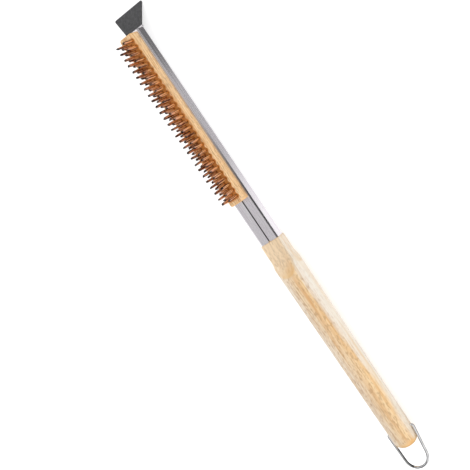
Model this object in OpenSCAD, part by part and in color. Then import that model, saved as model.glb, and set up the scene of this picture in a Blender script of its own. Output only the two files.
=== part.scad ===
// Long brush and scraper for a pizza oven, lying on its back with the bristles up.
// +X runs to the scraper, +Z is the way the bristles point, and Z = 0 is the scraper's edge.
// One sheet of steel is folded into a tube, and its back wall goes on as the scraper.

/* [Folded tube] */
// Width of the tube across its front face
tube_w = 21.5; // [15:0.5:26]
// Height of the tube from its back to its front face
tube_h = 13; // [8:0.5:16]
// Length of tube from the handle's shoulder to the open end
tube_len = 244; // [215:1:320]
// Thickness of the sheet
sheet_t = 1; // [0.6:0.1:1.4]
// Outer radius of the four folds
fold_r = 2; // [1.5:0.1:3]
// Gap between the sheet's two edges, down the middle of the front face
seam_gap = 0.8; // [0.3:0.1:1.5]
// Rounding of those two edges
seam_edge_r = 0.5; // [0.2:0.1:0.6]
// Width of the small notch where the seam runs out at each end
notch_w = 3; // [1.6:0.1:5]
// Length of that notch
notch_len = 2.2; // [1:0.1:4]

/* [Scraper] */
// Flat run between the tube's open end and the scraper's bend
tongue_len = 2; // [1:0.5:8]
// Inner radius of the scraper's bend
bend_r = 3; // [1:0.5:6]
// Angle by which the scraper turns down from the tube's back
blade_angle = 30; // [15:1:45]
// Length of the blade along its slope
blade_len = 22.5; // [16:0.5:32]
// Width of the blade at its edge, before its corners are rounded
blade_w = 39; // [30:0.5:50]
// Radius of the blade's two outer corners
blade_corner_r = 1.6; // [0.5:0.1:4]
// Radius of the two cuts that free the blade from the tube's folds
relief_r = 1; // [0.6:0.1:1.6]

/* [Brush block] */
// Length of the wooden block
block_len = 194; // [120:1:210]
// Width of the block
block_w = 16; // [12:0.5:20]
// Height of the block above the tube
block_h = 11.5; // [10:0.5:18]
// Radius of the block's four upright corners
block_corner_r = 2.5; // [1:0.5:5]
// Distance from the tube's open end to the block
block_inset = 1; // [0:0.5:4]

/* [Bristles] */
// Distance from tuft to tuft along a row
tuft_pitch = 6.65; // [5:0.05:9]
// Distance between rows
row_pitch = 4.2; // [3.6:0.1:5]
// Least distance from the block's end to the first tuft
tuft_margin = 7; // [6:0.5:14]
// Diameter of each tuft hole
tuft_hole_d = 3.4; // [2.6:0.1:3.6]
// Depth of each tuft hole
tuft_hole_depth = 8; // [5:0.5:9]
// Length of bristle that stands out of the block
bristle_len = 18; // [10:0.5:28]
// Thickness of one bristle
bristle_d = 0.75; // [0.4:0.05:0.8]
// Bristles round the middle one of a tuft
bristle_ring = 6; // [4:1:7]
// Angle by which a tuft's outer bristles lean out
bristle_splay = 0.4; // [0:0.1:2]

/* [Handle] */
// Length of the handle from its shoulder to its round end
handle_len = 247; // [180:1:320]
// Diameter of the handle at its thick end
handle_d = 29.6; // [24:0.2:34]
// Diameter of the handle at its round end
handle_end_d = 25.2; // [20:0.2:32]
// Radius that rounds the handle's end
handle_end_r = 9.5; // [4:0.5:10]
// Length of the neck before the scoops rise
neck_len = 18; // [8:0.5:30]
// Step of the neck beyond the tube on every side
neck_step = 0.6; // [0.5:0.1:2]
// Radius of the cutter that scooped the neck
scoop_r = 36; // [24:1:60]
// Length of the tenon inside the tube
tenon_len = 30; // [20:1:45]

/* [Hanging bail] */
// Diameter of the bail's wire
bail_wire_d = 2.6; // [1.6:0.1:3]
// Distance of its holes from the handle's round end
bail_from_end = 18; // [15:0.1:28]
// Distance from its holes to the middle of the bow
bail_reach = 42.5; // [36:0.5:60]
// Radius of the bend between pin and leg
bail_bend_r = 2; // [1.8:0.1:4]
// Angle by which each leg leans in
bail_taper = 5; // [0:0.5:8]
// Gap between the handle's side and the start of that bend
bail_gap = 0.3; // [0.2:0.1:1]
// Length of each pin in the handle
bail_pin_len = 7; // [4:0.5:9]
// Angle at which the bail lies, up from the handle's line
bail_lift = 6; // [0:1:30]
// Swell of the wire's radius where it is bent
bail_swell = 0.01; // [0.01:0.01:0.05]

/* [Screws] */
// Diameter of the screws
screw_d = 2.9; // [2:0.1:3.2]
// Diameter of their heads
screw_head_d = 5.6; // [4.4:0.1:6.4]
// Height of their heads
screw_head_h = 1.7; // [1:0.1:2.4]
// Length of screw in the block
screw_bite = 8.5; // [4:0.5:9]
// Distance of each block screw from the block's end
screw_inset = 3.5; // [2.5:0.1:4]
// Distance of the tenon screw from the handle's shoulder
tenon_screw_x = 15; // [8:0.5:17]

/* [Fits] */
// Gap round the tenon inside the tube
tenon_gap = 0.1; // [0.05:0.05:0.3]
// Gap round a tuft in its hole
tuft_gap = 0.05; // [0.02:0.01:0.1]
// Gap round a pin of the bail in its hole
pin_gap = 0.05; // [0.02:0.01:0.1]
// Gap round a screw in the steel
screw_gap = 0.15; // [0.1:0.05:0.4]

/* [Hidden] */
$fn = 48;
past = 1;

steel = [0.78, 0.77, 0.80];
wood = [0.93, 0.79, 0.60];
copper = [0.78, 0.49, 0.34];
dark_steel = [0.45, 0.45, 0.47];

// The scraper's reach and drop, beyond the tube's end and below its back
blade_reach = tongue_len + bend_r * sin(blade_angle) + blade_len * cos(blade_angle);
blade_drop = bend_r * (1 - cos(blade_angle)) + blade_len * sin(blade_angle);
axis_z = tube_h / 2 + blade_drop;

// The handle's taper, the bail's holes and the bail's bow
function turned_r(from_shoulder) =
    (handle_d + (handle_end_d - handle_d) * from_shoulder / handle_len) / 2;
hole_x = handle_len - bail_from_end;
hole_r = bail_wire_d / 2 + pin_gap;
pin_side = turned_r(hole_x);
bend_y = pin_side + bail_gap;
leg_y = bend_y + bail_bend_r * (1 + sin(bail_taper)) / cos(bail_taper);
bow_r = (leg_y * cos(bail_taper) - bail_reach * sin(bail_taper)) / (1 - sin(bail_taper));
bend_s = bail_bend_r * (1 + sin(bail_taper));
bow_s = bail_reach - bow_r + bow_r * sin(bail_taper);
leg_len = (bow_s - bend_s) / cos(bail_taper);

// The shoulder stands where it puts the whole brush's middle at X = 0
head_reach = tube_len + blade_reach + sheet_t * sin(blade_angle);
tail_reach = hole_x + bail_reach * cos(bail_lift) + bail_wire_d / 2;
shoulder_x = (tail_reach - head_reach) / 2;
tube_end_x = shoulder_x + tube_len;
front_z = axis_z + tube_h / 2;
back_z = axis_z - tube_h / 2;

// The block and its pattern of tufts
block_x = tube_end_x - block_inset - block_len / 2;
outer_count = floor((block_len - 2 * tuft_margin) / tuft_pitch) + 1;
face_z = front_z + block_h;
anchor_t = 0.5;
anchor_h = 3;
anchor_w = tuft_hole_d - 4 * tuft_gap - 0.6;
ring_r = (tuft_hole_d - bristle_d) / 2 - tuft_gap - 0.2;

// Where a long block's first screw reaches into the tenon, the tenon screw moves back with it
first_screw = tube_len - block_inset - block_len + screw_inset;
tenon_screw_at = tenon_screw_x * min(tenon_len, first_screw) / tenon_len;

function arc(centre, r, from, to, steps = 8) =
    [for (i = [0:steps]) centre + r * [cos(from + (to - from) * i / steps), sin(from + (to - from) * i / steps)]];

function rounded_rectangle(w, h, r) = concat(
    arc([w / 2 - r, h / 2 - r], r, 0, 90),
    arc([-w / 2 + r, h / 2 - r], r, 90, 180),
    arc([-w / 2 + r, -h / 2 + r], r, 180, 270),
    arc([w / 2 - r, -h / 2 + r], r, 270, 360));

// Tuft places along a row, measured from the block's middle
function tuft_places(count) = [for (i = [0:count - 1]) (i - (count - 1) / 2) * tuft_pitch];

// Moves the origin to the tube's axis at the handle's shoulder
module at_shoulder() {
    translate([shoulder_x, 0, axis_z])
        children();
}

// Turns a flat outline (across, up) into a bar that runs along +X
module bar(length) {
    rotate([90, 0, 90])
        linear_extrude(length)
            children();
}

// Section of the tube: one strip of sheet, from seam edge round to seam edge
module tube_section() {
    in_y = tube_w / 2 - fold_r;
    in_z = tube_h / 2 - fold_r;
    r_in = fold_r - sheet_t;
    lip_y = seam_gap / 2 + seam_edge_r;
    lip_z = tube_h / 2 - seam_edge_r;
    polygon(concat(
        [[seam_gap / 2, tube_h / 2 - sheet_t]],
        arc([lip_y, lip_z], seam_edge_r, 180, 90, 4),
        arc([in_y, in_z], fold_r, 90, 0),
        arc([in_y, -in_z], fold_r, 0, -90),
        arc([-in_y, -in_z], fold_r, 270, 180),
        arc([-in_y, in_z], fold_r, 180, 90),
        arc([-lip_y, lip_z], seam_edge_r, 90, 0, 4),
        [[-seam_gap / 2, tube_h / 2 - sheet_t]],
        arc([-in_y, in_z], r_in, 90, 180),
        arc([-in_y, -in_z], r_in, 180, 270),
        arc([in_y, -in_z], r_in, -90, 0),
        arc([in_y, in_z], r_in, 0, 90)));
}

// Side view of the scraper: (along, up) from the tube's end and its back
module blade_side() {
    bend = [tongue_len, -bend_r];
    out = [cos(blade_angle), -sin(blade_angle)];
    low = bend + bend_r * [sin(blade_angle), cos(blade_angle)];
    high = bend + (bend_r + sheet_t) * [sin(blade_angle), cos(blade_angle)];
    polygon(concat(
        [[-past, 0]],
        arc(bend, bend_r, 90, 90 - blade_angle),
        [low + blade_len * out, high + blade_len * out],
        arc(bend, bend_r + sheet_t, 90 - blade_angle, 90),
        [[-past, sheet_t]]));
}

// Plan of the scraper: straight at the tongue, then flared to its edge
module blade_plan() {
    tip = blade_reach + sheet_t * sin(blade_angle);
    root_y = tube_w / 2 - fold_r;
    flare = atan2((blade_w - tube_w) / 2, tip - tongue_len);
    r = blade_corner_r;
    corner_y = blade_w / 2 - r * (1 + sin(flare)) / cos(flare);
    difference() {
        polygon(concat(
            [[-2 * past, root_y], [0, root_y], [0, tube_w / 2], [tongue_len, tube_w / 2]],
            arc([tip - r, corner_y], r, 90 + flare, 0),
            arc([tip - r, -corner_y], r, 0, -90 - flare),
            [[tongue_len, -tube_w / 2], [0, -tube_w / 2], [0, -root_y], [-2 * past, -root_y]]));
        for (side = [-1, 1])
            translate([0, side * (root_y + relief_r)])
                circle(relief_r);
    }
}

module screw_hole(x) {
    translate([x, 0, back_z - past])
        cylinder(h = tube_h + 2 * past, r = screw_d / 2 + screw_gap);
}

function block_screw_xs() =
    [for (side = [-1, 1]) block_x + side * (block_len / 2 - screw_inset)];

module steel_shank() {
    color(steel)
        difference() {
            union() {
                at_shoulder()
                    bar(tube_len)
                        tube_section();
                intersection() {
                    translate([tube_end_x, blade_w, back_z])
                        rotate([90, 0, 0])
                            linear_extrude(2 * blade_w)
                                blade_side();
                    translate([tube_end_x, 0, -past])
                        linear_extrude(axis_z)
                            blade_plan();
                }
            }
            for (end = [0, 1])
                translate([shoulder_x + end * tube_len, 0, axis_z])
                    linear_extrude(tube_h)
                        polygon([[-notch_len, 0], [0, notch_w / 2], [notch_len, 0], [0, -notch_w / 2]]);
            for (x = block_screw_xs())
                screw_hole(x);
            translate([shoulder_x + tenon_screw_at, 0, back_z - past])
                cylinder(h = sheet_t + 2 * past, r = screw_d / 2 + screw_gap);
        }
}

// Puts a copy at each tuft of one row, with the origin at the bottom of its hole
module each_tuft(row) {
    count = row == 0 ? outer_count - 1 : outer_count;
    for (x = tuft_places(count))
        translate([block_x + x, row * row_pitch, face_z - tuft_hole_depth])
            children();
}

module brush_block() {
    color(wood)
        difference() {
            translate([block_x, 0, front_z])
                linear_extrude(block_h)
                    polygon(rounded_rectangle(block_len, block_w, block_corner_r));
            for (row = [-1:1])
                each_tuft(row)
                    cylinder(h = tuft_hole_depth + past, d = tuft_hole_d, $fn = 12);
            for (x = block_screw_xs())
                translate([x, 0, front_z - past])
                    cylinder(h = screw_bite + past, d = screw_d);
        }
}

module anchor(gap) {
    translate([-anchor_t / 2 - gap, -anchor_w / 2 - gap, -gap])
        cube([anchor_t + 2 * gap, anchor_w + 2 * gap, anchor_h + 2 * gap]);
}

// One tuft: wires packed into a plug in the hole, and standing apart above the block
module tuft() {
    wire_len = bristle_len + past;
    difference() {
        cylinder(h = tuft_hole_depth, d = tuft_hole_d - 2 * tuft_gap, $fn = 12);
        anchor(tuft_gap);
    }
    translate([0, 0, tuft_hole_depth - past])
        cylinder(h = wire_len, d = bristle_d, $fn = 6);
    for (i = [0:bristle_ring - 1])
        rotate([0, 0, i * 360 / bristle_ring])
            translate([ring_r, 0, tuft_hole_depth - past])
                rotate([0, bristle_splay, 0])
                    cylinder(h = wire_len, d = bristle_d, $fn = 6);
}

module tuft_row(row) {
    color(copper)
        each_tuft(row)
            tuft();
}

module tufts_left() {
    tuft_row(1);
}

module tufts_middle() {
    tuft_row(0);
}

module tufts_right() {
    tuft_row(-1);
}

// Flat staples that hold the folded wires at the bottom of their holes
module tuft_anchors() {
    color(dark_steel)
        for (row = [-1:1])
            each_tuft(row)
                anchor(0);
}

// Screw with a domed head and a cross slot, head down, its shank up from Z = 0
module screw(length) {
    dome_r = (pow(screw_head_d / 2, 2) + pow(screw_head_h, 2)) / (2 * screw_head_h);
    dome_half = asin(screw_head_d / 2 / dome_r);
    slot_w = screw_head_d / 6;
    slot_len = screw_head_d * 0.6;
    difference() {
        rotate_extrude()
            polygon(concat(
                arc([0, dome_r - screw_head_h], dome_r, -90, -90 + dome_half),
                [[screw_d / 2, 0], [screw_d / 2, length - screw_d], [0, length]]));
        for (turn = [0, 90])
            rotate([0, 0, turn])
                translate([-slot_len / 2, -slot_w / 2, -screw_head_h - past])
                    cube([slot_len, slot_w, screw_head_h / 2 + past]);
    }
}

module block_screws() {
    color(dark_steel)
        for (x = block_screw_xs())
            translate([x, 0, back_z])
                screw(tube_h + screw_bite);
}

module tenon_screw() {
    color(dark_steel)
        translate([shoulder_x + tenon_screw_at, 0, back_z])
            screw(tube_h - sheet_t - 2 * tenon_gap);
}

// Outline that a pair of scoops leaves: (along, across) from the shoulder
module scooped_outline(half_w) {
    wide = handle_d / 2 + past;
    rise = acos(1 - (wide - half_w) / scoop_r);
    top = concat(
        [[-past, half_w]],
        arc([neck_len, half_w + scoop_r], scoop_r, -90, -90 + rise, 12),
        [[handle_len + past, wide]]);
    bottom = [for (i = [len(top) - 1:-1:0]) [top[i].x, -top[i].y]];
    polygon(concat(top, bottom));
}

module turned_handle() {
    end_r = handle_end_d / 2;
    rotate([0, -90, 0])
        rotate_extrude()
            polygon(concat(
                [[0, 0], [handle_d / 2, 0]],
                arc([end_r - handle_end_r, handle_len - handle_end_r], handle_end_r, 0, 90),
                [[0, handle_len]]));
}

module handle() {
    color(wood)
        at_shoulder()
            difference() {
                union() {
                    intersection() {
                        turned_handle();
                        translate([0, handle_d, 0])
                            rotate([90, 0, 0])
                                mirror([1, 0, 0])
                                    linear_extrude(2 * handle_d)
                                        scooped_outline(tube_h / 2 + neck_step);
                        translate([0, 0, -handle_d])
                            mirror([1, 0, 0])
                                linear_extrude(2 * handle_d)
                                    scooped_outline(tube_w / 2 + neck_step);
                    }
                    translate([-past, 0, 0])
                        bar(tenon_len + past)
                            polygon(rounded_rectangle(
                                tube_w - 2 * (sheet_t + tenon_gap),
                                tube_h - 2 * (sheet_t + tenon_gap),
                                fold_r - sheet_t));
                }
                for (side = [0, 1])
                    mirror([0, side, 0])
                        translate([-hole_x, pin_side - bail_pin_len - past, 0])
                            rotate([-90, 0, 0])
                                cylinder(h = bail_pin_len + 2 * past, r = hole_r);
                translate([tenon_screw_at, 0, -tube_h / 2])
                    cylinder(h = tube_h, d = screw_d);
                for (x = block_screw_xs())
                    translate([x - shoulder_x, 0, -tube_h / 2])
                        cylinder(h = tube_h, d = screw_d);
            }
}

// One side of the bail, from the pin in the handle to the end of the leg
module bail_side() {
    r = bail_wire_d / 2;
    translate([0, pin_side - bail_pin_len, 0])
        rotate([-90, 0, 0])
            cylinder(h = bend_y - pin_side + bail_pin_len, r = r);
    translate([-bail_bend_r, bend_y, 0])
        rotate_extrude(angle = 90 + bail_taper)
            translate([bail_bend_r, 0])
                circle(r + bail_swell);
    translate([-bend_s, bend_y + bail_bend_r * cos(bail_taper), 0])
        rotate([0, -90, bail_taper])
            cylinder(h = leg_len, r = r);
}

module hanging_bail() {
    color(dark_steel)
        at_shoulder()
            translate([-hole_x, 0, 0])
                rotate([0, bail_lift, 0]) {
                    for (side = [0, 1])
                        mirror([0, side, 0])
                            bail_side();
                    translate([bow_r - bail_reach, 0, 0])
                        rotate([0, 0, 90 + bail_taper])
                            rotate_extrude(angle = 180 - 2 * bail_taper)
                                translate([bow_r, 0])
                                    circle(bail_wire_d / 2 + bail_swell);
                }
}

steel_shank();
brush_block();
tufts_left();
tufts_middle();
tufts_right();
tuft_anchors();
block_screws();
handle();
tenon_screw();
hanging_bail();
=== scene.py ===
# %% [markdown]
# # An oven brush with a folded steel shank
# The brush is one strip of sheet steel folded into a tube, a wooden block with three rows of wire
# tufts, a turned handle and a wire bail. It lies on its back with the bristles up. The solids come
# in as a fixed frame, in metres, and every piece made here takes its place from them. The visible
# pieces are made again with finer meshes, because a turned handle or a fold in steel shows every
# facet in its highlights.

import math
import random

import bmesh
import bpy
from mathutils import Matrix, Quaternion, Vector


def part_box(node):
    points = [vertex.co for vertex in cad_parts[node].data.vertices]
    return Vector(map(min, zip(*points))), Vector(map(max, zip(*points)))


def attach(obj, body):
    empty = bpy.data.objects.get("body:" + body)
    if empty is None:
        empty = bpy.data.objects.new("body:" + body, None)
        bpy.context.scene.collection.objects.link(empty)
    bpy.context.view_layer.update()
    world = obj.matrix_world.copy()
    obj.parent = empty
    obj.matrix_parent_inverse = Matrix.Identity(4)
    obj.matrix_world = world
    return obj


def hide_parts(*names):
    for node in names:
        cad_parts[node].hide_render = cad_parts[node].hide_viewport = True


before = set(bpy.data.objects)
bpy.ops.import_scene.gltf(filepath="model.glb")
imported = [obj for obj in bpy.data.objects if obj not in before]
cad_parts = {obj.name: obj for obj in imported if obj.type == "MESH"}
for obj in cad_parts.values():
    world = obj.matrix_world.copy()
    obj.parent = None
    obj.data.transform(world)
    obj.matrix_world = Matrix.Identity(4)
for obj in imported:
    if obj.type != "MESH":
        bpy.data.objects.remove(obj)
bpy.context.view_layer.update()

# %% [markdown]
# ## Places
# Sizes are easiest to read in millimetres, as a maker would write them, so pieces are modelled in
# millimetres and brought to metres at the very end. The places come from the boxes of the solids:
# the shank's box gives the tube's back, the block's box gives the face that the bristles stand on.

# %% Places taken from the solids
MM = 0.001


def box_mm(node):
    low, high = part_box(node)
    return low / MM, high / MM


shank_low, _ = box_mm("steel_shank")
block_low, block_high = box_mm("brush_block")
handle_low, _ = box_mm("handle")
block_x = (block_low.x + block_high.x) / 2
block_len = block_high.x - block_low.x
block_w = block_high.y - block_low.y

TUBE_W = 21.5
TUBE_H = 13.0
BLOCK_INSET = 1.0
FRONT_Z = block_low.z
BACK_Z = FRONT_Z - TUBE_H
AXIS_Z = FRONT_Z - TUBE_H / 2
SHOULDER_X = shank_low.x
TUBE_END_X = block_high.x + BLOCK_INSET
FACE_Z = block_high.z
print("shoulder at", round(SHOULDER_X, 3), "tube ends at", round(TUBE_END_X, 3),
      "axis height", round(AXIS_Z, 3))

# %% [markdown]
# ## Turning a mesh into a piece
# Each piece is finished the same way: the mesh gets normals that point outwards, is scaled from
# millimetres to metres, and becomes an object at the origin that rides on its body and stands for
# its solid. Writing that once keeps the pieces short.


# %% A finished piece from a bmesh
def finish_piece(bm, name, body, node, finish, sharp=35.0):
    """Makes the object from a mesh in mm, smooth apart from edges steeper than sharp degrees."""
    bmesh.ops.recalc_face_normals(bm, faces=bm.faces)
    bmesh.ops.scale(bm, vec=(MM, MM, MM), verts=bm.verts)
    mesh = bpy.data.meshes.new(name)
    bm.to_mesh(mesh)
    bm.free()
    for face in mesh.polygons:
        face.use_smooth = True
    mesh.set_sharp_from_angle(angle=math.radians(sharp))
    mesh.materials.append(finish)
    piece = bpy.data.objects.new(name, mesh)
    bpy.context.scene.collection.objects.link(piece)
    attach(piece, body)
    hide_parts(node)
    print(name, "has", len(mesh.polygons), "faces")
    return piece


# %% [markdown]
# ### Going on from what an operator made
# Operators such as extrude and spin hand back a mixed list of what they made. The next step needs
# its corners, or the edges that lie between them, so both are picked out here. A wire is then a
# ring of edges that is drawn on step by step. One more helper rounds edges and corners.


# %% Corners, edges, drawing on and rounding
NEAR = 0.001


def new_verts(made):
    return [g for g in made if isinstance(g, bmesh.types.BMVert)]


def new_edges(verts):
    inside = set(verts)
    return [e for e in {e for v in verts for e in v.link_edges} if all(v in inside for v in e.verts)]


def draw_on(bm, ring, step):
    """Draws the open ring on by a straight step."""
    ring = new_verts(bmesh.ops.extrude_edge_only(bm, edges=new_edges(ring))["geom"])
    bmesh.ops.translate(bm, vec=step, verts=ring)
    return ring


def rounded(bm, geom, offset, segments, affect="EDGES"):
    """Rounds edges, or with affect="VERTICES" the corners of a flat face."""
    bmesh.ops.bevel(bm, geom=geom, offset=offset, segments=segments, profile=0.5, affect=affect,
                    material=-1)


print("places closer than", NEAR, "mm count as the same")

# %% [markdown]
# ## Building a material from nodes
# A material is a short chain of nodes: where the point is, a pattern stretched along the piece, a
# colour for each value of the pattern, and the shader. These helpers keep each chain a few lines
# long. Patterns read Object coordinates, which are metres from the origin, so a grain keeps its
# real size on every piece.


# %% Helpers for node materials
def empty_material(name):
    """A material with nothing in it yet; what comes back last is the socket for its shader."""
    finish = bpy.data.materials.new(name)
    finish.use_nodes = True
    tree = finish.node_tree
    tree.nodes.clear()
    return finish, tree, tree.nodes.new("ShaderNodeOutputMaterial").inputs["Surface"]


def start_material(name, **shader_values):
    """A material with its shader; values that are the same all over are set on the shader itself."""
    finish, tree, surface = empty_material(name)
    shader = tree.nodes.new("ShaderNodeBsdfPrincipled")
    tree.links.new(shader.outputs["BSDF"], surface)
    for socket, value in shader_values.items():
        shader.inputs[socket.replace("_", " ")].default_value = value
    return finish, tree, shader


def stretched(tree, scale, shift=(0, 0, 0)):
    """Object coordinates times scale: a large number on an axis makes a pattern narrow along it."""
    place = tree.nodes.new("ShaderNodeTexCoord")
    mapping = tree.nodes.new("ShaderNodeMapping")
    mapping.inputs["Scale"].default_value = scale
    mapping.inputs["Location"].default_value = shift
    tree.links.new(place.outputs["Object"], mapping.inputs["Vector"])
    return mapping.outputs["Vector"]


def noise(tree, vector, detail=4.0, roughness=0.55):
    node = tree.nodes.new("ShaderNodeTexNoise")
    for socket, number in (("Scale", 1.0), ("Detail", detail), ("Roughness", roughness)):
        node.inputs[socket].default_value = number
    tree.links.new(vector, node.inputs["Vector"])
    return node.outputs["Fac"]


def feed(tree, socket, value):
    """Gives a socket a node's output or a plain value."""
    if isinstance(value, bpy.types.NodeSocket):
        tree.links.new(value, socket)
    else:
        socket.default_value = value


def reckon(tree, operation, *values):
    """One step of arithmetic on numbers or on nodes' outputs."""
    node = tree.nodes.new("ShaderNodeMath")
    node.operation = operation
    for socket, value in zip(node.inputs, values):
        feed(tree, socket, value)
    return node.outputs[0]


def parts_of(tree, what):
    """The X, Y and Z of the point's place, "Object", in metres, or of its "Normal"."""
    place = tree.nodes.new("ShaderNodeTexCoord")
    parts = tree.nodes.new("ShaderNodeSeparateXYZ")
    tree.links.new(place.outputs[what], parts.inputs["Vector"])
    return parts.outputs


def spread(tree, value, low, high, to_low=0.0, to_high=1.0):
    """Maps low..high of a value to to_low..to_high, held at the ends."""
    node = tree.nodes.new("ShaderNodeMapRange")
    ends = {"From Min": low, "From Max": high, "To Min": to_low, "To Max": to_high}
    for socket, number in ends.items():
        node.inputs[socket].default_value = number
    tree.links.new(value, node.inputs["Value"])
    return node.outputs["Result"]


def colours(tree, value, stops):
    """A colour for each value, from a few stops (position, (red, green, blue))."""
    ramp = tree.nodes.new("ShaderNodeValToRGB")
    points = ramp.color_ramp.elements
    while len(points) < len(stops):
        points.new(0.5)
    for point, (position, colour) in zip(points, stops):
        point.position = position
        point.color = (*colour, 1.0)
    tree.links.new(value, ramp.inputs["Fac"])
    return ramp.outputs["Color"]


def mixed(tree, share, first, second, way="MIX"):
    """Mixes two colours by a share, which is a number or a node's output."""
    node = tree.nodes.new("ShaderNodeMix")
    node.data_type = "RGBA"
    node.blend_type = way
    for socket, value in ((0, share), (6, first), (7, second)):
        feed(tree, node.inputs[socket], value)
    return node.outputs[2]


def bumped(tree, shader, height, depth_mm, strength, under=None):
    """Dents the shading by a height pattern, depth_mm deep; another bump may lie under it."""
    bump = tree.nodes.new("ShaderNodeBump")
    bump.inputs["Strength"].default_value = strength
    bump.inputs["Distance"].default_value = depth_mm * MM
    tree.links.new(height, bump.inputs["Height"])
    if under is not None:
        tree.links.new(under, bump.inputs["Normal"])
    tree.links.new(bump.outputs["Normal"], shader.inputs["Normal"])
    return bump.outputs["Normal"]


# %% [markdown]
# ## Wood
# The handle and the block are pale hardwood, sanded and sealed with a satin coat. Four things make
# it read as wood: broad stripes, thin lines where the yearly rings come to the surface, fibres along
# the length, and short dark flecks where pores were cut open. A ring is a place of equal distance
# from the tree's heart, which ran beside the piece, and slow noise bends the rings a little, so their
# lines wander and fade as they do on a turned piece. On the near side the handle's stripes are paler
# and the lines and flecks fade: that is painted light, where the lamp falls. On the scoops' steep
# ends and the handle's round end, which lie across the grain, the lines run out and the colour is
# warmer and darker: that is painted shade.


# %% The wood's figure, stripes and rings
CLEAR = (1.0, 1.0, 1.0)
STRIPE_WANDER = 14.0
RING_BENDS = 9.0
RING_SHARE = 0.55


def cut_across(tree):
    """How far a surface is cut across the grain, from its own slope: 0 along it, 1 on a steep end."""
    return spread(tree, reckon(tree, "ABSOLUTE", parts_of(tree, "Normal")["X"]), 0.12, 0.55)


def striped(tree, place, stripes):
    """The plank's broad stripes, given as (Y in mm, colour); a slow noise makes them wander."""
    broad = noise(tree, stretched(tree, (9, 120, 120), (3, 5, 7)), detail=3)
    wandering = reckon(tree, "MULTIPLY_ADD", broad, STRIPE_WANDER * MM, place["Y"])
    low, high, midway = stripes[0][0], stripes[-1][0], STRIPE_WANDER / 2
    over = spread(tree, wandering, (low + midway) * MM, (high + midway) * MM)
    return colours(tree, over, [((y - low) / (high - low), colour) for y, colour in stripes])


def ringed(tree, tone, heart, ring_mm):
    """Draws the yearly rings over a tone: they lie ring_mm apart round heart, a (y, z) in mm."""
    away = tree.nodes.new("ShaderNodeVectorMath")
    away.operation = "LENGTH"
    from_heart = stretched(tree, (0.12, 1, 1), (0, -heart[0] * MM, -heart[1] * MM))
    tree.links.new(from_heart, away.inputs[0])
    bends = spread(tree, noise(tree, stretched(tree, (6, 45, 45)), detail=3), 0, 1, 0, RING_BENDS)
    turns = reckon(tree, "MULTIPLY_ADD", away.outputs["Value"], math.tau / (ring_mm * MM), bends)
    wave = spread(tree, reckon(tree, "SINE", turns), 0.2, 1.0)
    ring_tone = colours(tree, wave, [(0.0, CLEAR), (1.0, (0.92, 0.72, 0.46))])
    patches = noise(tree, stretched(tree, (11, 140, 140), (2, 8, 4)), detail=2)
    return mixed(tree, spread(tree, patches, 0.40, 0.66, 0.0, RING_SHARE), tone, ring_tone, "MULTIPLY")


# %% The wood's figure, fibres and flecks
# Painted light: on the near side, below these places in Y, the lines and flecks fade as if washed out
# by the lamp.
PAINTED_LIGHT_OUTER, PAINTED_LIGHT_INNER = -12.5, -9.5
PAINTED_LIGHT_FIGURE = 0.3
FIBRE_SHARE = 0.7
FLECK_SHARE = 0.56


def wood(name, stripes, heart, ring_mm, contrast=1.0):
    """Sealed hardwood with its grain along X. Its tone isn't linked yet: each piece adds something."""
    finish, tree, shader = start_material(name, IOR=1.46, Coat_Weight=0.15, Coat_Roughness=0.30)
    place = parts_of(tree, "Object")
    tone = ringed(tree, striped(tree, place, stripes), heart, ring_mm)
    across = cut_across(tree)
    # Painted light: the figure fades towards the near side, where the lamp falls.
    figure = spread(tree, place["Y"], PAINTED_LIGHT_OUTER * MM, PAINTED_LIGHT_INNER * MM, PAINTED_LIGHT_FIGURE, 1.0)
    figure = reckon(tree, "MULTIPLY", reckon(tree, "SUBTRACT", 1.0, across), figure)
    fibre = noise(tree, stretched(tree, (40, 620, 620)), detail=4, roughness=0.6)
    lines = noise(tree, stretched(tree, (9, 560, 560), (4, 9, 2)), detail=3)
    streak = colours(tree, fibre, [(0.34, (0.80, 0.66, 0.50)), (0.56, CLEAR)])
    lined = colours(tree, lines, [(0.38, (0.84, 0.70, 0.56)), (0.52, CLEAR)])
    for pattern in (streak, lined):
        drawn = reckon(tree, "MULTIPLY", figure, FIBRE_SHARE * contrast)
        tone = mixed(tree, drawn, tone, pattern, "MULTIPLY")
    pores = noise(tree, stretched(tree, (210, 700, 700), (11, 2, 5)), detail=3)
    flecks = reckon(tree, "MULTIPLY", spread(tree, pores, 0.53, 0.61), figure)
    tone = mixed(tree, reckon(tree, "MULTIPLY", flecks, FLECK_SHARE), tone, (0.46, 0.26, 0.12, 1.0))
    # Painted shade: surfaces steep to the grain, facing along the brush, are painted warmer and darker.
    tone = mixed(tree, across, tone, (0.98, 0.82, 0.59, 1.0), "MULTIPLY")
    tree.links.new(spread(tree, fibre, 0.3, 0.7, 0.52, 0.40), shader.inputs["Roughness"])
    base = bumped(tree, shader, fibre, 0.05, 0.5)
    bumped(tree, shader, reckon(tree, "SUBTRACT", 1.0, flecks), 0.06, 0.6, under=base)
    return finish, tree, shader, tone, place
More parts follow.
